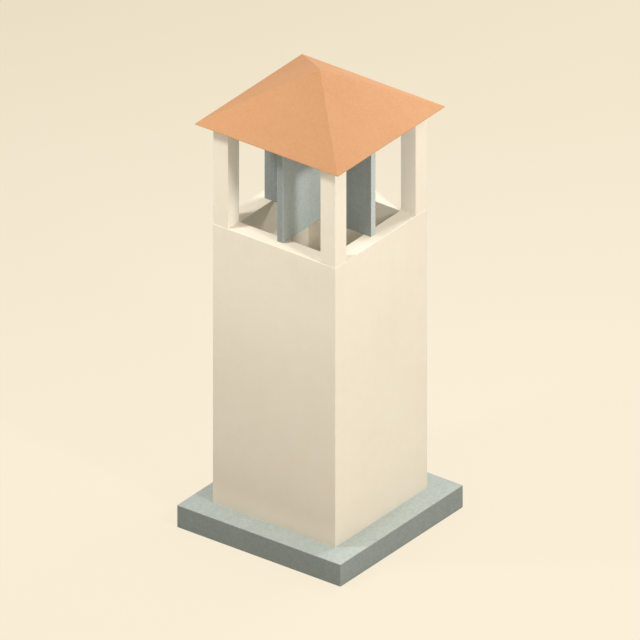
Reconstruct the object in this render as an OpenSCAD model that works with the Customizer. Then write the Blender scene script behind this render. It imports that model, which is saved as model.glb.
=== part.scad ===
// Windcatcher: a square masonry shaft on a plinth, an open lantern of four posts
// with two crossed wind vanes, and a pyramid roof on a timber frame.
// Millimetres, +Z up. The origin is on the ground, in the middle of the plinth,
// and the front is towards -Y.

/* [Plinth] */
// Height of the plinth above the ground
plinth_h = 295; // [150:5:450]
// How far the plinth stands out beyond the shaft, on each side
plinth_step = 300; // [100:10:500]
// Width of the chamfer along the plinth's top edges and upright corners
plinth_arris = 5; // [3:1:25]

/* [Shaft] */
// Outer width of the square shaft
shaft_w = 1800; // [1400:10:2400]
// Height of the shaft walls above the plinth
shaft_h = 3755; // [2000:5:6000]
// Thickness of the shaft walls
wall_t = 225; // [220:5:330]
// Width of the chamfer along the exposed edges of the walls and posts
render_arris = 3; // [1:1:7]

/* [Lantern] */
// Width of each square corner post, centred on the walls below it
post_w = 219; // [160:1:220]
// Height of the corner posts
post_h = 1250; // [900:10:1800]
// Depth of the ring beam that ties the heads of the posts
beam_h = 110; // [80:5:200]
// Thickness of the two crossed wind vanes
vane_t = 87; // [50:1:120]
// Width of the chamfer along the upright edges of the vanes
vane_arris = 4; // [1:1:15]
// Length of wall top that carries each end of a vane
vane_bearing = 110; // [60:5:150]
// Clearance on each side of the slots where the vanes cross
slot_gap = 1.5; // [0.5:0.5:5]
// Clearance between the ends of the vane heads and the ring beam
beam_gap = 2; // [1:0.5:10]

/* [Roof frame] */
// Pitch of the four roof slopes, in degrees
roof_pitch = 30.8; // [22:0.1:42]
// How far the eaves stand out beyond the shaft
eave_overhang = 150; // [60:10:300]
// Height of the rafter backs above the outer edge of the ring beam
heel_h = 47; // [35:1:80]
// Width of a common or jack rafter
rafter_w = 50; // [38:1:75]
// Depth of a common or jack rafter, square to the slope
rafter_d = 100; // [80:1:140]
// Width of a hip rafter
hip_w = 60; // [45:1:80]
// Depth of a hip rafter, square to its own slope
hip_d = 120; // [90:1:160]
// Clear space between neighbouring rafters at the king post
king_gap = 7; // [2:1:30]
// How far the king post reaches below the rafters that butt on it
king_drop = 45; // [20:5:120]
// Height of the upright cut at the tip of each rafter tail
tail_tip = 12; // [6:1:25]

/* [Roof skin] */
// Thickness of the deck boards
deck_t = 25; // [18:1:40]
// Thickness of the roof covering
cover_t = 15; // [12:1:30]
// Height of the upright nose along the eaves
nose_h = 8; // [3:1:10]

/* [Hidden] */

plinth_color = "#8b9086";
masonry_color = "#eee2c8";
vane_color = "#8f958b";
timber_color = "#b08a5c";
covering_color = "#e2a06c";

// Plan sizes, as distances from the middle
plinth_half = shaft_w / 2 + plinth_step;
shaft_half = shaft_w / 2;
duct_half = shaft_half - wall_t;
post_set_back = (wall_t - post_w) / 2;
beam_half = shaft_half - post_set_back;
beam_inner = beam_half - post_w;
vane_half = duct_half + vane_bearing;
roof_half = shaft_half + eave_overhang;

// Levels
rim_z = plinth_h + shaft_h;
post_top_z = rim_z + post_h;
beam_top_z = post_top_z + beam_h;

// Heights measured upright through the sloping layers
slope = tan(roof_pitch);
deck_v = deck_t / cos(roof_pitch);
cover_v = cover_t / cos(roof_pitch);
rafter_v = rafter_d / cos(roof_pitch);
hip_stretch = sqrt(2);
hip_v = hip_d / cos(atan(slope / hip_stretch));

// Height of the rafter backs, and so of the deck's underside, at distance r from the middle
function back_z(r) = beam_top_z + heel_h + (beam_half - r) * slope;
// Distance from the middle at which the rafter backs are at height z
function back_r(z) = beam_half + (beam_top_z + heel_h - z) / slope;

eave_z = back_z(roof_half) + deck_v + cover_v;
soffit_z = eave_z - nose_h;
apex_z = back_z(0) + deck_v + cover_v;

// The king post is wide enough for one common and half of two hips on each face
king_half = (rafter_w + hip_w * hip_stretch) / 2 + king_gap;
king_foot_z = back_z(king_half) - max(rafter_v, hip_v) - king_drop;

// The slots of the crossed vanes meet halfway up
slot_half = vane_t / 2 + slot_gap;
slot_z = (rim_z + king_foot_z) / 2;

// Quarter turns about Z that carry the front piece of a ring to each side
FRONT = 0;
RIGHT = 1;
BACK = 2;
LEFT = 3;

module on_side(side) {
    rotate([0, 0, 90 * side]) children();
}

// Upright square prism from z0 to z1, centred on the origin
module square_block(half, z0, z1) {
    translate([-half, -half, z0]) cube([2 * half, 2 * half, z1 - z0]);
}

// Square of the given half width, with its four corners cut off by a chamfer
module eased_square(half, arris) {
    near = half - arris;
    polygon([
        [-near, -half], [near, -half], [half, -near], [half, near],
        [near, half], [-near, half], [-half, near], [-half, -near]
    ]);
}

// Solid that has the same side view from the front and from the right. The view's
// right half is given, as [distance from the middle, height] points from its foot up.
module square_turned(half_view) {
    mirrored = [
        for (i = [len(half_view) - 1:-1:0])
            if (half_view[i][0] > 0) [-half_view[i][0], half_view[i][1]]
    ];
    width = 2 * max([for (p = half_view) p[0]]);
    intersection() {
        translate([0, width / 2, 0])
            rotate([90, 0, 0])
                linear_extrude(height = width) polygon(concat(half_view, mirrored));
        translate([-width / 2, 0, 0])
            rotate([90, 0, 90])
                linear_extrude(height = width) polygon(concat(half_view, mirrored));
    }
}

// Square block with chamfered upright corners and top edges
module eased_block(half, z0, z1, arris) {
    intersection() {
        square_turned([[half, z0], [half, z1 - arris], [half - arris, z1]]);
        translate([0, 0, z0])
            linear_extrude(height = z1 - z0) eased_square(half, arris);
    }
}

// The air duct through the shaft and the plinth, flared by a chamfer at the rim
module duct() {
    square_turned([
        [duct_half, -1],
        [duct_half, rim_z - render_arris],
        [duct_half + render_arris + 1, rim_z + 1]
    ]);
}

// A side view of [distance from the middle, height] points, as a piece of the given
// width that runs towards the front, square to the front wall
module towards_front(outline, width) {
    translate([-width / 2, 0, 0])
        rotate([90, 0, 90])
            linear_extrude(height = width)
                polygon([for (p = outline) [-p[0], p[1]]]);
}

// The solid pyramid below the backs of the rafters, from height z0 up
module under_deck(z0) {
    square_turned([[back_r(z0), z0], [0, back_z(0)]]);
}

// Plan sector of the front slope, set back from both hip lines by a distance
// square to them
module front_sector(set_back = 0) {
    tip = -set_back * hip_stretch;
    far = -2 * roof_half;
    translate([0, 0, rim_z])
        linear_extrude(height = apex_z - rim_z + roof_half)
            polygon([[0, tip], [tip - far, far], [far - tip, far]]);
}

module plinth() {
    color(plinth_color)
        difference() {
            eased_block(plinth_half, 0, plinth_h, plinth_arris);
            duct();
        }
}

// The front and back walls run the full width, and the side walls stand between them
module wall(side) {
    half = (side == FRONT || side == BACK) ? shaft_half : duct_half;
    color(masonry_color)
        difference() {
            intersection() {
                eased_block(shaft_half, plinth_h, rim_z, render_arris);
                on_side(side)
                    translate([-half, -shaft_half, plinth_h])
                        cube([2 * half, wall_t, shaft_h]);
            }
            duct();
        }
}

// The post on the left of the front, carried round by quarter turns
module post(corner) {
    middle = beam_half - post_w / 2;
    color(masonry_color)
        on_side(corner)
            translate([-middle, -middle, rim_z])
                linear_extrude(height = post_h) eased_square(post_w / 2, render_arris);
}

// The ring beam's members are halved over each other at the corners: the front and
// back ones keep their lower half, and the side ones their upper half
module beam(side) {
    lap_z = (side == FRONT || side == BACK) ? beam_top_z - beam_h / 2 : post_top_z - 1;
    color(timber_color)
        on_side(side)
            difference() {
                translate([-beam_half, -beam_half, post_top_z])
                    cube([2 * beam_half, post_w, beam_h]);
                for (x = [-beam_half - 1, beam_inner])
                    translate([x, -beam_half - 1, lap_z])
                        cube([post_w + 1, post_w + 2, beam_h / 2 + 1]);
            }
}

// Half of a vane's outline: the shoulder passes under the ring beam, and the head
// rises between the beams to the common rafter and the king post
function vane_half_outline() =
    let (
        head = beam_inner - beam_gap,
        flat = back_r(king_foot_z + rafter_v)
    )
    [
        [vane_half, rim_z],
        [vane_half, post_top_z],
        [head, post_top_z],
        [head, back_z(head) - rafter_v],
        [flat, king_foot_z]
    ];

module vane_plate() {
    right = vane_half_outline();
    left = [for (i = [len(right) - 1:-1:0]) [-right[i][0], right[i][1]]];
    face = vane_t / 2 - vane_arris;
    long = vane_half - vane_arris;
    intersection() {
        translate([0, vane_t / 2, 0])
            rotate([90, 0, 0])
                linear_extrude(height = vane_t)
                    polygon(concat(right, left));
        translate([0, 0, rim_z])
            linear_extrude(height = king_foot_z - rim_z)
                polygon([
                    [-long, -vane_t / 2], [long, -vane_t / 2],
                    [vane_half, -face], [vane_half, face],
                    [long, vane_t / 2], [-long, vane_t / 2],
                    [-vane_half, face], [-vane_half, -face]
                ]);
    }
}

// The two vanes are halved over each other where they cross
module vane_across() {
    color(vane_color)
        difference() {
            vane_plate();
            square_block(slot_half, slot_z, king_foot_z + 1);
        }
}

module vane_along() {
    color(vane_color)
        rotate([0, 0, 90])
            difference() {
                vane_plate();
                square_block(slot_half, rim_z - 1, slot_z);
            }
}

module king_post() {
    color(timber_color)
        intersection() {
            square_block(king_half, king_foot_z, apex_z);
            under_deck(king_foot_z);
        }
}

// Outline of a rafter: its tail is cut level with the soffit, it is notched over the
// ring beam, and it is cut upright at the king post. A hip lies on the diagonal, so
// its distances from the middle are stretched by the square root of two.
function rafter_outline(depth_v, tip_h, stretch = 1) =
    let (
        tail = back_r(soffit_z + tip_h),
        notch = back_r(beam_top_z + depth_v)
    )
    [
        [stretch * tail, soffit_z],
        [stretch * tail, back_z(tail)],
        [stretch * king_half, back_z(king_half)],
        [stretch * king_half, back_z(king_half) - depth_v],
        [stretch * notch, beam_top_z],
        [stretch * beam_half, beam_top_z],
        [stretch * beam_half, soffit_z]
    ];

module common_rafter(side) {
    color(timber_color)
        on_side(side) towards_front(rafter_outline(rafter_v, tail_tip), rafter_w);
}

// Jacks stand halfway between the common rafter and the corner of the ring beam, and
// end against the cheek of the hip. The hand is -1 for the left one, 1 for the right.
module jack_rafter(side, hand) {
    color(timber_color)
        on_side(side)
            intersection() {
                translate([hand * beam_half / 2, 0, 0])
                    towards_front(rafter_outline(rafter_v, tail_tip), rafter_w);
                front_sector(hip_w / 2);
            }
}

// The hip on the left of the front, carried round by quarter turns. Its back is
// bevelled to both slopes, and its head and seat fit round the corners of the king
// post and of the ring beam.
module hip_rafter(corner) {
    cheek_drop = hip_w / 2 / hip_stretch * slope;
    outline = rafter_outline(hip_v, tail_tip + cheek_drop, hip_stretch);
    head = (king_half - hip_w / hip_stretch) * hip_stretch;
    reach = concat(
        [for (p = outline) if (p[0] > hip_stretch * king_half) p],
        [[head, back_z(king_half)], [head, back_z(king_half) - hip_v]]
    );
    color(timber_color)
        on_side(corner)
            difference() {
                intersection() {
                    rotate([0, 0, -45]) towards_front(outline, hip_w);
                    under_deck(rim_z);
                }
                square_block(king_half, king_foot_z, apex_z);
                square_block(beam_half, post_top_z, beam_top_z);
            }
}

// One triangular slope of a layer, from its outline square to the eaves
module slope_layer(outline) {
    intersection() {
        towards_front(outline, 2 * roof_half);
        front_sector();
    }
}

module deck(side) {
    outer = roof_half - (cover_v - nose_h) / slope;
    inner = back_r(soffit_z);
    color(timber_color)
        on_side(side)
            slope_layer([
                [outer, soffit_z],
                [0, back_z(0) + deck_v],
                [0, back_z(0)],
                [inner, soffit_z]
            ]);
}

module covering(side) {
    inner = roof_half - (cover_v - nose_h) / slope;
    color(covering_color)
        on_side(side)
            slope_layer([
                [roof_half, soffit_z],
                [roof_half, eave_z],
                [0, apex_z],
                [0, apex_z - cover_v],
                [inner, soffit_z]
            ]);
}

plinth();
wall(FRONT);  // wall_front
wall(RIGHT);  // wall_right
wall(BACK);  // wall_back
wall(LEFT);  // wall_left
post(FRONT);  // post_front_left
post(RIGHT);  // post_front_right
post(BACK);  // post_back_right
post(LEFT);  // post_back_left
beam(FRONT);  // beam_front
beam(RIGHT);  // beam_right
beam(BACK);  // beam_back
beam(LEFT);  // beam_left
vane_across();
vane_along();
king_post();
hip_rafter(FRONT);  // hip_front_left
hip_rafter(RIGHT);  // hip_front_right
hip_rafter(BACK);  // hip_back_right
hip_rafter(LEFT);  // hip_back_left
common_rafter(FRONT);  // rafter_front
common_rafter(RIGHT);  // rafter_right
common_rafter(BACK);  // rafter_back
common_rafter(LEFT);  // rafter_left
jack_rafter(FRONT, -1);  // jack_front_left
jack_rafter(FRONT, 1);  // jack_front_right
jack_rafter(RIGHT, -1);  // jack_right_front
jack_rafter(RIGHT, 1);  // jack_right_back
jack_rafter(BACK, -1);  // jack_back_right
jack_rafter(BACK, 1);  // jack_back_left
jack_rafter(LEFT, -1);  // jack_left_back
jack_rafter(LEFT, 1);  // jack_left_front
deck(FRONT);  // deck_front
deck(RIGHT);  // deck_right
deck(BACK);  // deck_back
deck(LEFT);  // deck_left
covering(FRONT);  // roof_front
covering(RIGHT);  // roof_right
covering(BACK);  // roof_back
covering(LEFT);  // roof_left
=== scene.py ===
import bpy
import math
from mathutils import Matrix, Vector


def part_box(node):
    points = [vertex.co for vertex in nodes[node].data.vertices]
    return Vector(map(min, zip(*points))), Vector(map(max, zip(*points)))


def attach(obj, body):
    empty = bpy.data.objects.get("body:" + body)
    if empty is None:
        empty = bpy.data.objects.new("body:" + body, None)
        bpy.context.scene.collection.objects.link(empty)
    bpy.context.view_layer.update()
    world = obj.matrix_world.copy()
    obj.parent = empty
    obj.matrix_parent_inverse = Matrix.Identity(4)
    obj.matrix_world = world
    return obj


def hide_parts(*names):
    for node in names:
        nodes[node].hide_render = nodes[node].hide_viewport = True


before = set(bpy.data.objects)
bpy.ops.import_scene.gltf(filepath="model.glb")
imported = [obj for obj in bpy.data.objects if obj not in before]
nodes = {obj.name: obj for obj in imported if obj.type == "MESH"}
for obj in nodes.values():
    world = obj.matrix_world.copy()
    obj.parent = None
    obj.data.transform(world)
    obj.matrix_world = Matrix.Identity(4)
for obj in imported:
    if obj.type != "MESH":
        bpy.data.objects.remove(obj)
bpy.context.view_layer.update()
print("frame loaded:", len(nodes), "nodes")

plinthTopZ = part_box("plinth")[1].z
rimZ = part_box("wall_front")[1].z
deckLow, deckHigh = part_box("deck_front")
deckReach = deckHigh.x    # half width of the deck at the eaves
roofPitch = math.atan2(deckHigh.z - deckLow.z, deckReach)


# small helpers for node trees and objects

def feed(tree, socket, value):    # an output is linked, anything else becomes the socket's own value
    if isinstance(value, bpy.types.NodeSocket):
        tree.links.new(value, socket)
    else:
        socket.default_value = value


def addNode(tree, kind, inputs=None, **settings):
    node = tree.nodes.new(kind)
    for name, value in settings.items():
        setattr(node, name, value)
    for name, value in (inputs or {}).items():
        feed(tree, node.inputs[name], value)
    return node


def calc(tree, operation, *values):
    node = addNode(tree, "ShaderNodeMath", operation=operation)
    for socket, value in zip(node.inputs, values):
        feed(tree, socket, value)
    return node.outputs[0]


def times(tree, first, second):
    return calc(tree, "MULTIPLY", first, second)


def plus(tree, first, second):
    return calc(tree, "ADD", first, second)


def minus(tree, first, second):
    return calc(tree, "SUBTRACT", first, second)


def remap(tree, value, low, high, outLow=0.0, outHigh=1.0, smooth=False):
    node = addNode(tree, "ShaderNodeMapRange", {
        "Value": value, "From Min": low, "From Max": high, "To Min": outLow, "To Max": outHigh})
    if smooth:
        node.interpolation_type = "SMOOTHSTEP"
    return node.outputs["Result"]


def joinXYZ(tree, x=0.0, y=0.0, z=0.0):
    return addNode(tree, "ShaderNodeCombineXYZ", {"X": x, "Y": y, "Z": z}).outputs["Vector"]


def splitXYZ(tree, vector):
    return addNode(tree, "ShaderNodeSeparateXYZ", {"Vector": vector}).outputs


def stretch(tree, vector, scale):
    return addNode(tree, "ShaderNodeMapping", {"Vector": vector, "Scale": scale}).outputs["Vector"]


def noise(tree, vector, scale, detail=3.0, roughness=0.5, distortion=0.0):
    return addNode(tree, "ShaderNodeTexNoise", {
        "Vector": vector, "Scale": scale, "Detail": detail, "Roughness": roughness,
        "Distortion": distortion}).outputs["Fac"]


def faceNormal(tree):
    return tree.nodes.new("ShaderNodeNewGeometry").outputs["Normal"]


def blendColour(tree, factor, first, second, mode="MIX"):
    return addNode(tree, "ShaderNodeMix", {0: factor, 6: first, 7: second},
                   data_type="RGBA", blend_type=mode).outputs[2]


def layOver(tree, colour, over, mask, share):    # a second colour over the first, where the mask is
    return blendColour(tree, times(tree, mask, share), colour, over)


def multiplyTone(tree, colour, red, green, blue):
    shade = addNode(tree, "ShaderNodeCombineColor", {"Red": red, "Green": green, "Blue": blue})
    return blendColour(tree, 1.0, colour, shade.outputs["Color"], "MULTIPLY")


def addObject(name, data):
    made = bpy.data.objects.new(name, data)
    bpy.context.scene.collection.objects.link(made)
    return made


def addBump(tree, height, depth, strength, under=None):
    node = addNode(tree, "ShaderNodeBump", {"Height": height, "Distance": depth, "Strength": strength})
    if under is not None:
        feed(tree, node.inputs["Normal"], under)
    return node.outputs["Normal"]


def mixShaders(tree, factor, first, second):
    return addNode(tree, "ShaderNodeMixShader", {0: factor, 1: first, 2: second}).outputs[0]


def startGroup(name, inputs, outputs):
    tree = bpy.data.node_groups.new(name, "ShaderNodeTree")
    for label, kind, value in inputs:
        socket = tree.interface.new_socket(label, in_out="INPUT", socket_type="NodeSocket" + kind)
        if value is not None:
            socket.default_value = value
    for label in outputs:
        tree.interface.new_socket(label, in_out="OUTPUT", socket_type="NodeSocketFloat")
    return tree, tree.nodes.new("NodeGroupInput").outputs, tree.nodes.new("NodeGroupOutput").inputs


def useGroup(tree, group, inputs):
    return addNode(tree, "ShaderNodeGroup", inputs, node_tree=group).outputs


def startMaterial(name):
    material = bpy.data.materials.new(name)
    material.use_nodes = True
    tree = material.node_tree
    position = tree.nodes.new("ShaderNodeTexCoord").outputs["Object"]
    return material, tree, tree.nodes["Principled BSDF"].inputs, position


# effects that several finishes share; a pair such as (0.34, 0.66) is the part of a noise that shows

cloudyPatches = {"broadShare": 0.6, "smallShare": 0.4, "shows": (0.34, 0.66)}


def makeMottleGroup():    # broad and small patches together, about 0.5 on average
    style = cloudyPatches
    tree, given, result = startGroup("mottle", [
        ("Vector", "Vector", None), ("Broad Scale", "Float", 1.2), ("Small Scale", "Float", 9.0)], ["Mask"])
    broad = noise(tree, given["Vector"], given["Broad Scale"], detail=4.0, roughness=0.55, distortion=0.3)
    small = noise(tree, given["Vector"], given["Small Scale"], detail=5.0, roughness=0.6)
    both = calc(tree, "MULTIPLY_ADD", broad, style["broadShare"], times(tree, small, style["smallShare"]))
    feed(tree, result["Mask"], remap(tree, both, *style["shows"]))
    return tree


sandAndPits = {
    "coarseScale": 0.16,    # of the fine sand's
    "speckFine": 0.5,
    "speckCoarse": 0.5,
    "specksShow": (0.36, 0.64),
    "fineHeight": 0.35,
    "coarseHeight": 0.5,
    "pitSizes": ((1.0, 1.0), (2.3, 0.7)),    # scale and depth: large deep pits, then small shallow ones
    "pitReach": (0.10, 0.42),    # smallest and largest in a cell
    "pitRarity": 2.5,    # the higher, the fewer large ones
    "pitFloor": 0.55,    # share of a pit's radius that is flat
}


def makeGrainGroup():    # fine sand, specks of it that show, and scattered pits of mixed sizes
    style = sandAndPits
    tree, given, result = startGroup("sandGrain", [
        ("Vector", "Vector", None), ("Grain Scale", "Float", 220.0), ("Pit Scale", "Float", 60.0),
        ("Pit Share", "Float", 0.15)], ["Height", "Pits", "Specks"])
    sand = noise(tree, given["Vector"], given["Grain Scale"], detail=3.0, roughness=0.65)
    coarse = noise(tree, given["Vector"], times(tree, given["Grain Scale"], style["coarseScale"]),
                   detail=4.0, roughness=0.6)
    pits = None
    for size, depth in style["pitSizes"]:
        cells = addNode(tree, "ShaderNodeTexVoronoi", {
            "Vector": given["Vector"], "Scale": times(tree, given["Pit Scale"], size)}).outputs
        chance = addNode(tree, "ShaderNodeSeparateColor", {"Color": cells["Color"]}).outputs
        largeness = calc(tree, "POWER", chance["Green"], style["pitRarity"])
        reach = remap(tree, largeness, 0.0, 1.0, *style["pitReach"])
        fromMiddle = calc(tree, "DIVIDE", cells["Distance"], reach)
        hole = remap(tree, fromMiddle, style["pitFloor"], 1.0, depth, 0.0, smooth=True)
        hole = times(tree, hole, calc(tree, "LESS_THAN", chance["Red"], given["Pit Share"]))
        pits = hole if pits is None else calc(tree, "MAXIMUM", pits, hole)
    feed(tree, result["Pits"], pits)
    specks = calc(tree, "MULTIPLY_ADD", sand, style["speckFine"], times(tree, coarse, style["speckCoarse"]))
    feed(tree, result["Specks"], remap(tree, specks, *style["specksShow"]))
    rough = calc(tree, "MULTIPLY_ADD", sand, style["fineHeight"], times(tree, coarse, style["coarseHeight"]))
    feed(tree, result["Height"], minus(tree, rough, pits))
    return tree


wornArrises = {
    "turns": (0.995, 0.90),    # cosines of the turn where wear starts and is full
    "shows": (0.40, 0.60),
}


def makeEdgeGroup():    # 1 on worn arrises and 0 on flat faces, broken up by noise
    style = wornArrises
    tree, given, result = startGroup("edgeWear", [
        ("Vector", "Vector", None), ("Radius", "Float", 0.008), ("Break Up Scale", "Float", 14.0)], ["Mask"])
    rounded = addNode(tree, "ShaderNodeBevel", {"Radius": given["Radius"]}, samples=4).outputs["Normal"]
    facing = addNode(tree, "ShaderNodeVectorMath", {0: rounded, 1: faceNormal(tree)}, operation="DOT_PRODUCT")
    edge = remap(tree, facing.outputs["Value"], *style["turns"])
    broken = noise(tree, given["Vector"], given["Break Up Scale"], detail=4.0, roughness=0.6)
    feed(tree, result["Mask"], times(tree, edge, remap(tree, broken, *style["shows"])))
    return tree


waterStreaks = {
    "shows": (0.46, 0.72),
    "apart": 7.3,    # so that faces along X and along Y get different streaks
}


def makeRunOffGroup():    # streaks left by water running down, as lines along a face's own fall
    style = waterStreaks
    tree, given, result = startGroup("runOff", [
        ("Vector", "Vector", None), ("Width Scale", "Float", 9.0), ("Length Scale", "Float", 0.5)], ["Mask"])
    place = splitXYZ(tree, given["Vector"])
    turned = splitXYZ(tree, faceNormal(tree))
    sideX, sideY = calc(tree, "ABSOLUTE", turned["X"]), calc(tree, "ABSOLUTE", turned["Y"])
    facesX = calc(tree, "GREATER_THAN", sideX, sideY)
    along = plus(tree, times(tree, place["Y"], facesX), times(tree, place["X"], minus(tree, 1.0, facesX)))
    laid = joinXYZ(tree, times(tree, along, given["Width Scale"]),
                   times(tree, place["Z"], given["Length Scale"]), times(tree, facesX, style["apart"]))
    streaks = noise(tree, laid, 1.0, detail=4.0, roughness=0.6, distortion=0.2)
    feed(tree, result["Mask"], remap(tree, streaks, *style["shows"]))
    return tree


sawnGrain = {
    "grainDrawn": (0.05, 1.0, 1.0),    # drawn out along the member
    "checksDrawn": (0.02, 1.0, 1.0),
    "heartAway": 0.35,    # metres from the member's middle to the log's
    "wanderScale": 7.0,
    "wander": 30.0,
    "bandSharpness": 1.6,
    "fibreScale": 460.0,
    "checkScale": 48.0,
    "checksShow": (0.72, 0.76),
}


def makeTimberGroup():    # grain along the vector's X: growth bands, fibres and a few drying checks
    style = sawnGrain
    tree, given, result = startGroup("timberGrain", [
        ("Vector", "Vector", None), ("Band Width", "Float", 0.011)], ["Bands", "Fibres", "Checks"])
    drawn = stretch(tree, given["Vector"], style["grainDrawn"])
    wander = noise(tree, drawn, style["wanderScale"], detail=3.0, roughness=0.5)
    across = splitXYZ(tree, given["Vector"])
    far = plus(tree, calc(tree, "ABSOLUTE", across["Y"]), style["heartAway"])
    radius = calc(tree, "SQRT", plus(tree, times(tree, far, far), times(tree, across["Z"], across["Z"])))
    rings = calc(tree, "DIVIDE", radius, given["Band Width"])
    wave = calc(tree, "SINE", plus(tree, rings, times(tree, wander, style["wander"])))
    bands = remap(tree, wave, -1.0, 1.0)
    feed(tree, result["Bands"], calc(tree, "POWER", bands, style["bandSharpness"]))
    feed(tree, result["Fibres"], noise(tree, drawn, style["fibreScale"], detail=2.0, roughness=0.7))
    checks = noise(tree, stretch(tree, given["Vector"], style["checksDrawn"]), style["checkScale"],
                   detail=1.0, roughness=0.4)
    feed(tree, result["Checks"], remap(tree, checks, *style["checksShow"]))
    return tree


mottleGroup = makeMottleGroup()
grainGroup = makeGrainGroup()
edgeGroup = makeEdgeGroup()
runOffGroup = makeRunOffGroup()
timberGroup = makeTimberGroup()
print("shared effects built")


def addMottle(tree, position, style):
    broad, small = style["patchScales"]
    return useGroup(tree, mottleGroup, {
        "Vector": position, "Broad Scale": broad, "Small Scale": small})["Mask"]


def addWear(tree, position, style):
    return useGroup(tree, edgeGroup, {"Vector": position, "Radius": style["wearRadius"]})["Mask"]


def addStreaks(tree, position, style):
    width, length = style["streakScales"]
    return useGroup(tree, runOffGroup, {
        "Vector": position, "Width Scale": width, "Length Scale": length})["Mask"]


def addGrain(tree, position, style):
    return useGroup(tree, grainGroup, {
        "Vector": position, "Grain Scale": style["grainScale"], "Pit Scale": style["pitScale"],
        "Pit Share": style["pitShare"]})


# lime render on the walls and posts

limeRender = {
    "colour": (0.790, 0.724, 0.594, 1),
    "warm": (0.766, 0.688, 0.551, 1),
    "inside": (0.958, 0.895, 0.765, 1),    # painted light: paler colour on faces that look at the shaft's axis, brightening the shaft's inside
    "insideFrom": (-0.1, -0.4),    # metres that such a face's plane lies from the axis
    # painted light: the rim's up-facing tops get a paler colour
    "rimTop": (0.905, 0.815, 0.667, 1),
    "topFrom": (0.5, 0.9),    # how much a face looks up, where 1 is level
    "arris": (0.82, 0.76, 0.63, 1),
    "sand": (0.74, 0.63, 0.46, 1),
    "stain": (0.62, 0.55, 0.44, 1),
    "patchScales": (0.9, 6.0),
    "grainScale": 240.0,
    "pitScale": 62.0,
    "pitShare": 0.045,
    "wearRadius": 0.009,
    "streakScales": (7.0, 0.45),
    "sandShow": 0.16,    # how strongly each effect shows
    "pitShow": 0.40,
    "wearShow": 0.70,
    "crackShow": 0.45,
    "streakShow": 0.04,
    "rimStreakShow": 0.10,
    "splashShow": 0.06,
    "splashHeight": 0.38,    # metres above the plinth
    "rimStainHeight": 0.55,    # metres below the rim
    "rimClear": 0.002,    # the rim's own top gets no stain
    "crackScale": 2.1,
    "crackWidth": 0.0012,
    "crackWander": (0.20, 0.17, 0.23),
    "crackWanderScale": 3.0,
    "crackPatchScale": 0.8,    # cracks show only in patches
    "crackPatches": (0.56, 0.66),
    "duskTop": 0.8,    # the painted shade toward the ground starts at this share of the wall's height
    "duskAlong": 0.005,    # on faces that look along X
    "duskAcross": 0.225,    # painted shade on faces that look along Y
    "duskRed": 0.90,    # red darkens by less, so the lower wall is warmer
    "duskAtFoot": 0.5,    # share of it left at the very foot
    # painted lift: the foot is painted paler again
    "footPale": 0.09,
    "roughness": (0.82, 0.92),
    "trowelStretch": (1.0, 1.0, 2.4),
    "trowelScale": 2.2,
    "trowelDepth": 0.0024,
    "sandDepth": 0.0014,
    "relief": 0.8,
}


def hairCracks(tree, position, style):
    wander = noise(tree, position, style["crackWanderScale"], detail=3.0, roughness=0.6)
    shift = joinXYZ(tree, *(times(tree, wander, reach) for reach in style["crackWander"]))
    shifted = addNode(tree, "ShaderNodeVectorMath", {0: position, 1: shift}, operation="ADD")
    cells = addNode(tree, "ShaderNodeTexVoronoi", {
        "Vector": shifted.outputs["Vector"], "Scale": style["crackScale"]}, feature="DISTANCE_TO_EDGE")
    line = remap(tree, cells.outputs["Distance"], 0.0, style["crackWidth"] * style["crackScale"], 1.0, 0.0)
    patches = noise(tree, position, style["crackPatchScale"], detail=2.0)
    return times(tree, line, remap(tree, patches, *style["crackPatches"]))


def paintShadeDown(tree, colour, height, acrossShare, splash, style):    # painted shade toward the ground, strongest on faces that look along Y, and painted paler again at the foot
    top = plinthTopZ + style["duskTop"] * (rimZ - plinthTopZ)
    low = remap(tree, height, plinthTopZ, top, 1.0, 0.0)
    strength = remap(tree, acrossShare, 0.0, 1.0, style["duskAlong"], style["duskAcross"])
    dusk = times(tree, times(tree, low, strength), remap(tree, splash, 0.0, 1.0, 1.0, style["duskAtFoot"]))
    pale = calc(tree, "MULTIPLY_ADD", splash, style["footPale"], 1.0)
    tone = minus(tree, pale, dusk)
    return multiplyTone(tree, colour, minus(tree, pale, times(tree, dusk, style["duskRed"])), tone, tone)


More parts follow.
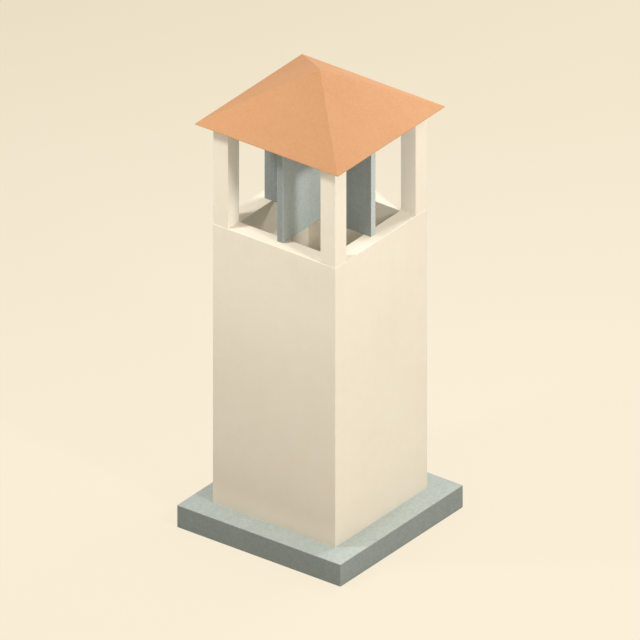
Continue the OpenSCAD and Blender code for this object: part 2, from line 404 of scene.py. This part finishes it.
def makeLimeRender(style):
    material, tree, surface, position = startMaterial("limeRender")
    mottle = addMottle(tree, position, style)
    grain = addGrain(tree, position, style)
    place = splitXYZ(tree, position)
    turned = splitXYZ(tree, faceNormal(tree))
    height = place["Z"]
    splash = remap(tree, height, plinthTopZ, plinthTopZ + style["splashHeight"], 1.0, 0.0, smooth=True)
    nearRim = remap(tree, height, rimZ - style["rimStainHeight"], rimZ)
    underRim = times(tree, nearRim, calc(tree, "LESS_THAN", height, rimZ - style["rimClear"]))
    outward = plus(tree, times(tree, place["X"], turned["X"]), times(tree, place["Y"], turned["Y"]))
    cracks = hairCracks(tree, position, style)
    colour = blendColour(tree, mottle, style["colour"], style["warm"])
    # painted light: faces that look at the shaft's axis get a paler colour
    colour = blendColour(tree, remap(tree, outward, *style["insideFrom"]), colour, style["inside"])
    # painted light on faces that look up
    colour = blendColour(tree, remap(tree, turned["Z"], *style["topFrom"]), colour, style["rimTop"])
    streakShare = calc(tree, "MULTIPLY_ADD", underRim, style["rimStreakShow"], style["streakShow"])
    stained = plus(tree, times(tree, addStreaks(tree, position, style), streakShare),
                   times(tree, splash, times(tree, mottle, style["splashShow"])))
    colour = blendColour(tree, stained, colour, style["stain"])
    # painted shade: darker toward the ground, most on faces that look along Y
    colour = paintShadeDown(tree, colour, height, calc(tree, "ABSOLUTE", turned["Y"]), splash, style)
    colour = layOver(tree, colour, style["stain"], cracks, style["crackShow"])
    colour = layOver(tree, colour, style["sand"], grain["Specks"], style["sandShow"])
    colour = layOver(tree, colour, style["stain"], grain["Pits"], style["pitShow"])
    colour = layOver(tree, colour, style["arris"], addWear(tree, position, style), style["wearShow"])
    feed(tree, surface["Base Color"], colour)
    feed(tree, surface["Roughness"], remap(tree, mottle, 0.0, 1.0, *style["roughness"]))
    trowel = noise(tree, stretch(tree, position, style["trowelStretch"]), style["trowelScale"],
                   detail=4.0, roughness=0.5, distortion=0.9)
    swept = addBump(tree, trowel, style["trowelDepth"], style["relief"])
    sanded = addBump(tree, minus(tree, grain["Height"], cracks), style["sandDepth"], style["relief"], swept)
    feed(tree, surface["Normal"], sanded)
    return material


# cast concrete on the plinth and the vanes

castConcrete = {    # what both concretes share
    "patchScales": (1.7, 11.0),
    "grainScale": 200.0,
    "pitScale": 46.0,
    "wearRadius": 0.010,
    "streakScales": (12.0, 1.2),
    "topFrom": (0.2, 0.9),
    "speckShow": 0.30,
    "darkShow": 0.16,
    "streakShow": 0.06,
    "pitShow": 0.55,
    "wearShow": 0.50,
    "swellScale": 5.0,
    "swellDepth": 0.0016,
    "swellStrength": 0.7,
    "grainDepth": 0.0020,
    "grainStrength": 0.8,
}
plinthConcrete = castConcrete | {
    "name": "plinthConcrete",
    "colour": (0.210, 0.235, 0.218, 1),
    "patch": (0.196, 0.220, 0.203, 1),
    "arris": (0.36, 0.385, 0.355, 1),
    "dark": (0.11, 0.12, 0.11, 1),
    "speck": (0.36, 0.385, 0.355, 1),
    "acrossTone": 0.915,    # painted shade on faces that look along Y
    "alongTone": 1.13,    # painted light on faces that look along X
    "topTone": 1.95,    # painted light on faces that look up
    "pitShare": 0.14,
    "roughness": (0.80, 0.90),
}
vaneConcrete = castConcrete | {
    "name": "vaneConcrete",
    "colour": (0.354, 0.395, 0.376, 1),
    "patch": (0.332, 0.372, 0.353, 1),
    "arris": (0.46, 0.50, 0.475, 1),
    "dark": (0.17, 0.185, 0.175, 1),
    "speck": (0.52, 0.56, 0.53, 1),
    # painted shade on faces that look along Y, painted light on faces that look along X and up
    "acrossTone": 0.73,
    "alongTone": 1.35,
    "topTone": 1.10,
    "pitShare": 0.10,
    "roughness": (0.78, 0.88),
}


def makeConcrete(style):
    material, tree, surface, position = startMaterial(style["name"])
    mottle = addMottle(tree, position, style)
    grain = addGrain(tree, position, style)
    turned = splitXYZ(tree, faceNormal(tree))
    # painted light and shade by facing: faces along Y darker, faces along X and up lighter
    facesX = calc(tree, "ABSOLUTE", turned["X"])
    sideLightAndShade = remap(tree, facesX, 0.0, 1.0, style["acrossTone"], style["alongTone"])
    facesUp = remap(tree, turned["Z"], *style["topFrom"])
    tone = addNode(tree, "ShaderNodeMix", {0: facesUp, 2: sideLightAndShade, 3: style["topTone"]}).outputs[0]
    colour = blendColour(tree, mottle, style["colour"], style["patch"])
    colour = layOver(tree, colour, style["speck"], grain["Specks"], style["speckShow"])
    colour = layOver(tree, colour, style["dark"], minus(tree, 1.0, grain["Specks"]), style["darkShow"])
    colour = multiplyTone(tree, colour, tone, tone, tone)
    colour = layOver(tree, colour, style["dark"], addStreaks(tree, position, style), style["streakShow"])
    colour = layOver(tree, colour, style["dark"], grain["Pits"], style["pitShow"])
    colour = layOver(tree, colour, style["arris"], addWear(tree, position, style), style["wearShow"])
    feed(tree, surface["Base Color"], colour)
    feed(tree, surface["Roughness"], remap(tree, mottle, 0.0, 1.0, *style["roughness"]))
    swell = noise(tree, position, style["swellScale"], detail=5.0, roughness=0.55)
    cast = addBump(tree, swell, style["swellDepth"], style["swellStrength"])
    sandy = addBump(tree, grain["Height"], style["grainDepth"], style["grainStrength"], cast)
    feed(tree, surface["Normal"], sandy)
    return material


# terracotta coat of the roof

terracotta = {
    "colour": (0.492, 0.238, 0.099, 1),
    "patch": (0.473, 0.223, 0.091, 1),
    "arris": (0.56, 0.31, 0.16, 1),
    "stain": (0.30, 0.155, 0.080, 1),
    "grog": (0.60, 0.335, 0.175, 1),    # crushed fired clay in the coat
    "patchScales": (1.5, 9.0),
    "grainScale": 210.0,
    "pitScale": 60.0,
    "pitShare": 0.05,
    "wearRadius": 0.010,
    "streakScales": (14.0, 1.6),
    "streakShow": 0.05,
    "grogShow": 0.26,
    "stainShow": 0.14,
    "pitShow": 0.45,
    "wearShow": 0.50,
    "roughness": (0.78, 0.88),
    "rollScale": 4.0,
    "rollDepth": 0.0018,
    "rollStrength": 0.7,
    "grainDepth": 0.0016,
    "grainStrength": 0.8,
}


def makeTerracotta(style):
    material, tree, surface, position = startMaterial("terracottaCoat")
    mottle = addMottle(tree, position, style)
    grain = addGrain(tree, position, style)
    colour = blendColour(tree, mottle, style["colour"], style["patch"])
    colour = layOver(tree, colour, style["stain"], addStreaks(tree, position, style), style["streakShow"])
    colour = layOver(tree, colour, style["grog"], grain["Specks"], style["grogShow"])
    colour = layOver(tree, colour, style["stain"], minus(tree, 1.0, grain["Specks"]), style["stainShow"])
    colour = layOver(tree, colour, style["stain"], grain["Pits"], style["pitShow"])
    colour = layOver(tree, colour, style["arris"], addWear(tree, position, style), style["wearShow"])
    feed(tree, surface["Base Color"], colour)
    feed(tree, surface["Roughness"], remap(tree, mottle, 0.0, 1.0, *style["roughness"]))
    roll = noise(tree, position, style["rollScale"], detail=4.0, roughness=0.5)
    rolled = addBump(tree, roll, style["rollDepth"], style["rollStrength"])
    sandy = addBump(tree, grain["Height"], style["grainDepth"], style["grainStrength"], rolled)
    feed(tree, surface["Normal"], sandy)
    return material


# timber of the roof frame and the deck

timber = {
    "early": (0.56, 0.42, 0.275, 1),
    "late": (0.35, 0.235, 0.14, 1),
    "grey": (0.50, 0.44, 0.355, 1),
    "check": (0.13, 0.085, 0.05, 1),
    "patchScales": (2.5, 14.0),
    "wearRadius": 0.004,
    "bandWidth": 0.0065,
    "bandShow": 0.60,
    "greyShow": 0.30,
    "tintShow": 0.45,
    "wearShow": 0.35,
    "checkShow": 0.70,
    "roughness": (0.82, 0.70),    # early wood, late wood
    "bandHeight": 0.5,    # beside the fibres' 1
    "checkDepth": 2.0,
    "reliefDepth": 0.0006,
    "reliefStrength": 0.7,
}


def makeTimber(name, direction, tinted=False):    # the direction is the member's length
    style = timber
    material, tree, surface, position = startMaterial(name)
    turn = Vector(direction).rotation_difference(Vector((1, 0, 0))).to_euler()
    laid = addNode(tree, "ShaderNodeMapping", {"Vector": position, "Rotation": turn}).outputs["Vector"]
    grain = useGroup(tree, timberGroup, {"Vector": laid, "Band Width": style["bandWidth"]})
    colour = layOver(tree, style["early"], style["late"], grain["Bands"], style["bandShow"])
    colour = layOver(tree, colour, style["grey"], addMottle(tree, position, style), style["greyShow"])
    if tinted:
        tint = addNode(tree, "ShaderNodeAttribute", attribute_name="boardTint").outputs["Fac"]
        colour = layOver(tree, colour, style["late"], tint, style["tintShow"])
    colour = layOver(tree, colour, style["early"], addWear(tree, position, style), style["wearShow"])
    colour = layOver(tree, colour, style["check"], grain["Checks"], style["checkShow"])
    feed(tree, surface["Base Color"], colour)
    feed(tree, surface["Roughness"], remap(tree, grain["Bands"], 0.0, 1.0, *style["roughness"]))
    raised = calc(tree, "MULTIPLY_ADD", grain["Bands"], style["bandHeight"], grain["Fibres"])
    relief = minus(tree, raised, times(tree, grain["Checks"], style["checkDepth"]))
    feed(tree, surface["Normal"], addBump(tree, relief, style["reliefDepth"], style["reliefStrength"]))
    return material


# finishes on the CAD nodes

def dress(names, material):
    for name in names:
        slots = nodes[name].data.materials
        slots.clear()
        slots.append(material)
        for face in nodes[name].data.polygons:
            face.material_index = 0


def startingWith(prefix):
    return [name for name in nodes if name.startswith(prefix)]


dress(startingWith("wall") + startingWith("post"), makeLimeRender(limeRender))
dress(["plinth"], makeConcrete(plinthConcrete))
dress(startingWith("vane"), makeConcrete(vaneConcrete))
dress(startingWith("roof"), makeTerracotta(terracotta))

fall = -math.tan(roofPitch)    # of a slope, for each metre outward
sides = {"front": (0, -1), "right": (1, 0), "back": (0, 1), "left": (-1, 0)}
dress(["beam_front", "beam_back"], makeTimber("beamTimberAcross", (1, 0, 0)))
dress(["beam_left", "beam_right"], makeTimber("beamTimberAlong", (0, 1, 0)))
dress(["king_post"], makeTimber("kingPostTimber", (0, 0, 1)))
for side, (x, y) in sides.items():
    rafters = ["rafter_" + side] + startingWith("jack_" + side)
    dress(rafters, makeTimber(side + "RafterTimber", (x, y, fall)))
for name in startingWith("hip"):
    low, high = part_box(name)
    middle = (low + high) / 2
    x, y = math.copysign(1, middle.x), math.copysign(1, middle.y)
    corner = "".join(word.capitalize() for word in name.split("_")[1:])
    dress([name], makeTimber("hip" + corner + "Timber", (x, y, fall)))
print("finishes made")


# boards of the roof deck

deckBoards = {
    "count": 10,    # to a slope
    "gap": 0.003,
    "thickness": 0.025,
    "lengthen": 2.0,    # a board's length for each metre that it lies out from the apex
    "apexGap": 0.001,
    "seed": 7,
}


def makeBoardTree():    # boards laid from eave to apex, mitred at the hips and cut level at the soffit
    tree = bpy.data.node_groups.new("deckBoards", "GeometryNodeTree")
    tree.interface.new_socket("Geometry", in_out="INPUT", socket_type="NodeSocketGeometry")
    for label, kind in (("Count", "Int"), ("Slope Length", "Float"), ("Gap", "Float"), ("Thickness", "Float"),
                        ("Pitch", "Float"), ("Apex Height", "Float"), ("Soffit Height", "Float"),
                        ("Turn", "Float"), ("Seed", "Int"), ("Finish", "Material")):
        tree.interface.new_socket(label, in_out="INPUT", socket_type="NodeSocket" + kind)
    tree.interface.new_socket("Geometry", in_out="OUTPUT", socket_type="NodeSocketGeometry")
    given = tree.nodes.new("NodeGroupInput").outputs
    step = calc(tree, "DIVIDE", given["Slope Length"], given["Count"])
    line = addNode(tree, "GeometryNodeMeshLine", {
        "Count": given["Count"],
        "Start Location": joinXYZ(tree, y=times(tree, step, -0.5), z=times(tree, given["Thickness"], -0.5)),
        "Offset": joinXYZ(tree, y=times(tree, step, -1.0))})
    board = addNode(tree, "GeometryNodeMeshCube", {
        "Size": joinXYZ(tree, deckBoards["lengthen"], minus(tree, step, given["Gap"]), given["Thickness"]),
        "Vertices X": 2, "Vertices Y": 2, "Vertices Z": 2})
    placed = addNode(tree, "GeometryNodeInstanceOnPoints", {
        "Points": line.outputs["Mesh"], "Instance": board.outputs["Mesh"]})
    tint = addNode(tree, "FunctionNodeRandomValue", {"Seed": given["Seed"]}, data_type="FLOAT")
    tinted = addNode(tree, "GeometryNodeStoreNamedAttribute", {
        "Geometry": placed.outputs["Instances"], "Name": "boardTint", "Value": tint.outputs[1]},
        data_type="FLOAT", domain="INSTANCE")
    real = addNode(tree, "GeometryNodeRealizeInstances", {"Geometry": tinted.outputs["Geometry"]})
    laid = addNode(tree, "GeometryNodeTransform", {
        "Geometry": real.outputs["Geometry"], "Rotation": joinXYZ(tree, x=given["Pitch"]),
        "Translation": joinXYZ(tree, z=given["Apex Height"])})
    place = splitXYZ(tree, tree.nodes.new("GeometryNodeInputPosition").outputs["Position"])
    lift = calc(tree, "MAXIMUM", minus(tree, given["Soffit Height"], place["Z"]), 0.0)
    pulled = plus(tree, place["Y"], calc(tree, "DIVIDE", lift, calc(tree, "TANGENT", given["Pitch"])))
    y = calc(tree, "MINIMUM", pulled, -deckBoards["apexGap"])
    x = times(tree, place["X"], times(tree, y, -1.0))
    mitred = addNode(tree, "GeometryNodeSetPosition", {
        "Geometry": laid.outputs["Geometry"], "Position": joinXYZ(tree, x, y, plus(tree, place["Z"], lift))})
    turned = addNode(tree, "GeometryNodeTransform", {
        "Geometry": mitred.outputs["Geometry"], "Rotation": joinXYZ(tree, z=given["Turn"])})
    finished = addNode(tree, "GeometryNodeSetMaterial", {
        "Geometry": turned.outputs["Geometry"], "Material": given["Finish"]})
    feed(tree, tree.nodes.new("NodeGroupOutput").inputs["Geometry"], finished.outputs["Geometry"])
    return tree


def makeDeck(tree, side, turn, finish):
    maker = addObject("maker", bpy.data.meshes.new("maker"))
    modifier = maker.modifiers.new("boards", "NODES")
    modifier.node_group = tree
    values = {
        "Count": deckBoards["count"],
        "Slope Length": math.hypot(deckReach, deckHigh.z - deckLow.z),
        "Gap": deckBoards["gap"],
        "Thickness": deckBoards["thickness"],
        "Pitch": roofPitch,
        "Apex Height": deckHigh.z,
        "Soffit Height": deckLow.z,
        "Turn": turn,
        "Seed": deckBoards["seed"] + round(turn * 10),    # other tints on each slope
        "Finish": finish,
    }
    for item in tree.interface.items_tree:
        if item.in_out == "INPUT" and item.name in values:
            modifier[item.identifier] = values[item.name]
    bpy.context.view_layer.update()
    mesh = bpy.data.meshes.new_from_object(maker.evaluated_get(bpy.context.evaluated_depsgraph_get()))
    bpy.data.objects.remove(maker)    # and its modifier with it
    mesh.name = "deckBoards" + side.capitalize()
    deck = addObject(mesh.name, mesh)
    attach(deck, "root")
    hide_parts("deck_" + side)


boardTree = makeBoardTree()
for number, (side, (x, y)) in enumerate(sides.items()):
    finish = makeTimber(side + "DeckTimber", (-y, x, 0), tinted=True)
    makeDeck(boardTree, side, number * math.pi / 2, finish)
print("deck boards laid")


# floor and backdrop

floorPaper = {
    "half": 60.0,
    "below": 0.001,    # just clear of the plinth's underside
    "nearLeft": (0.936, 0.838, 0.660, 1),
    "nearRight": (0.930, 0.832, 0.665, 1),
    "farLeft": (0.842, 0.756, 0.571, 1),
    "farRight": (0.903, 0.805, 0.613, 1),
    "away": (-0.6, 0.8),    # the way the painted falloff of light across the paper runs, seen from above
    "fadeStart": -3.0,
    "fadeEnd": 12.4,
    "fadePower": 2.5,
    "sideReach": 3.76,
    "glow": 1.0,
    "shadowShare": 0.11,
    "bounce": (0.80, 0.765, 0.70, 1),    # what the object gets back from it
}


def seenDirectly(tree):    # 1 where the eye, a reflection or glass looks straight at it
    rays = tree.nodes.new("ShaderNodeLightPath").outputs
    return calc(tree, "MAXIMUM", rays["Is Camera Ray"],
                calc(tree, "MAXIMUM", rays["Is Glossy Ray"], rays["Is Transmission Ray"]))


def makeFloorPaper(style):
    material = bpy.data.materials.new("floorPaper")
    material.use_nodes = True
    tree = material.node_tree
    tree.nodes.clear()
    where = splitXYZ(tree, tree.nodes.new("ShaderNodeTexCoord").outputs["Object"])
    awayX, awayY = style["away"]
    away = plus(tree, times(tree, where["Y"], awayY), times(tree, where["X"], awayX))
    across = minus(tree, times(tree, where["X"], awayY), times(tree, where["Y"], awayX))
    # painted falloff of light: the paper darkens with distance, most toward the far left
    fade = calc(tree, "POWER", remap(tree, away, style["fadeStart"], style["fadeEnd"]), style["fadePower"])
    side = remap(tree, across, -style["sideReach"], style["sideReach"])
    near = blendColour(tree, side, style["nearLeft"], style["nearRight"])
    far = blendColour(tree, side, style["farLeft"], style["farRight"])
    colour = blendColour(tree, fade, near, far)
    glow = addNode(tree, "ShaderNodeEmission", {"Color": colour, "Strength": style["glow"]}).outputs[0]
    matt = addNode(tree, "ShaderNodeBsdfDiffuse", {"Color": colour}).outputs[0]
    dull = addNode(tree, "ShaderNodeBsdfDiffuse", {"Color": style["bounce"]}).outputs[0]
    paper = mixShaders(tree, style["shadowShare"], glow, matt)
    chosen = mixShaders(tree, seenDirectly(tree), dull, paper)
    feed(tree, tree.nodes.new("ShaderNodeOutputMaterial").inputs["Surface"], chosen)
    return material


def makeFloor(style):
    half, level = style["half"], -style["below"]
    corners = [(-half, -half, level), (half, -half, level), (half, half, level), (-half, half, level)]
    mesh = bpy.data.meshes.new("floor")
    mesh.from_pydata(corners, [], [(0, 1, 2, 3)])
    mesh.materials.append(makeFloorPaper(style))
    addObject("floor", mesh)


# light and camera

lamps = {
    "keyLamp": {"place": (9.0, -2.25, 9.9), "size": 1.4, "power": 528},
    "backLamp": {"place": (1.25, 5.5, 8.8), "size": 3.0, "power": 350},
    "frontLamp": {"place": (-3.5, -4.6, 10.4), "size": 1.1, "power": 372},
}
lampAim = (0, 0, 2.5)
skyLight = {"colour": (1.0, 0.98, 0.95, 1), "strength": 0.69, "backdrop": (0.85, 0.76, 0.58, 1)}
viewpoint = {
    "azimuth": 36.87,
    "elevation": 29.25,
    "width": 7.52,
    "aim": (0, 0, 2.652),
    "distance": 20.0,
    "farthest": 200.0,
}


def makeLamps():
    for name, style in lamps.items():
        light = bpy.data.lights.new(name, "AREA")
        light.shape = "DISK"
        light.size = style["size"]
        light.energy = style["power"]
        lamp = addObject(name, light)
        lamp.location = style["place"]
        lamp.rotation_euler = (Vector(lampAim) - lamp.location).to_track_quat("-Z", "Y").to_euler()


def makeSky(style):
    world = bpy.data.worlds.new("studio")
    world.use_nodes = True
    bpy.context.scene.world = world
    tree = world.node_tree
    sky = tree.nodes["Background"]
    feed(tree, sky.inputs["Color"], style["colour"])
    feed(tree, sky.inputs["Strength"], style["strength"])
    backdrop = addNode(tree, "ShaderNodeBackground", {"Color": style["backdrop"], "Strength": 1.0})
    chosen = mixShaders(tree, seenDirectly(tree), sky.outputs[0], backdrop.outputs[0])
    feed(tree, tree.nodes["World Output"].inputs["Surface"], chosen)


def makeCamera(style):
    azimuth, elevation = math.radians(style["azimuth"]), math.radians(style["elevation"])
    back = Vector((math.sin(azimuth) * math.cos(elevation), -math.cos(azimuth) * math.cos(elevation),
                   math.sin(elevation)))
    data = bpy.data.cameras.new("camera")
    data.type = "ORTHO"
    data.ortho_scale = style["width"]
    data.clip_end = style["farthest"]
    camera = addObject("camera", data)
    camera.location = Vector(style["aim"]) + back * style["distance"]
    camera.rotation_euler = (-back).to_track_quat("-Z", "Y").to_euler()
    bpy.context.scene.camera = camera


makeFloor(floorPaper)
makeLamps()
makeSky(skyLight)
makeCamera(viewpoint)
bpy.context.scene.view_settings.view_transform = "Standard"
print("floor, light and camera made")
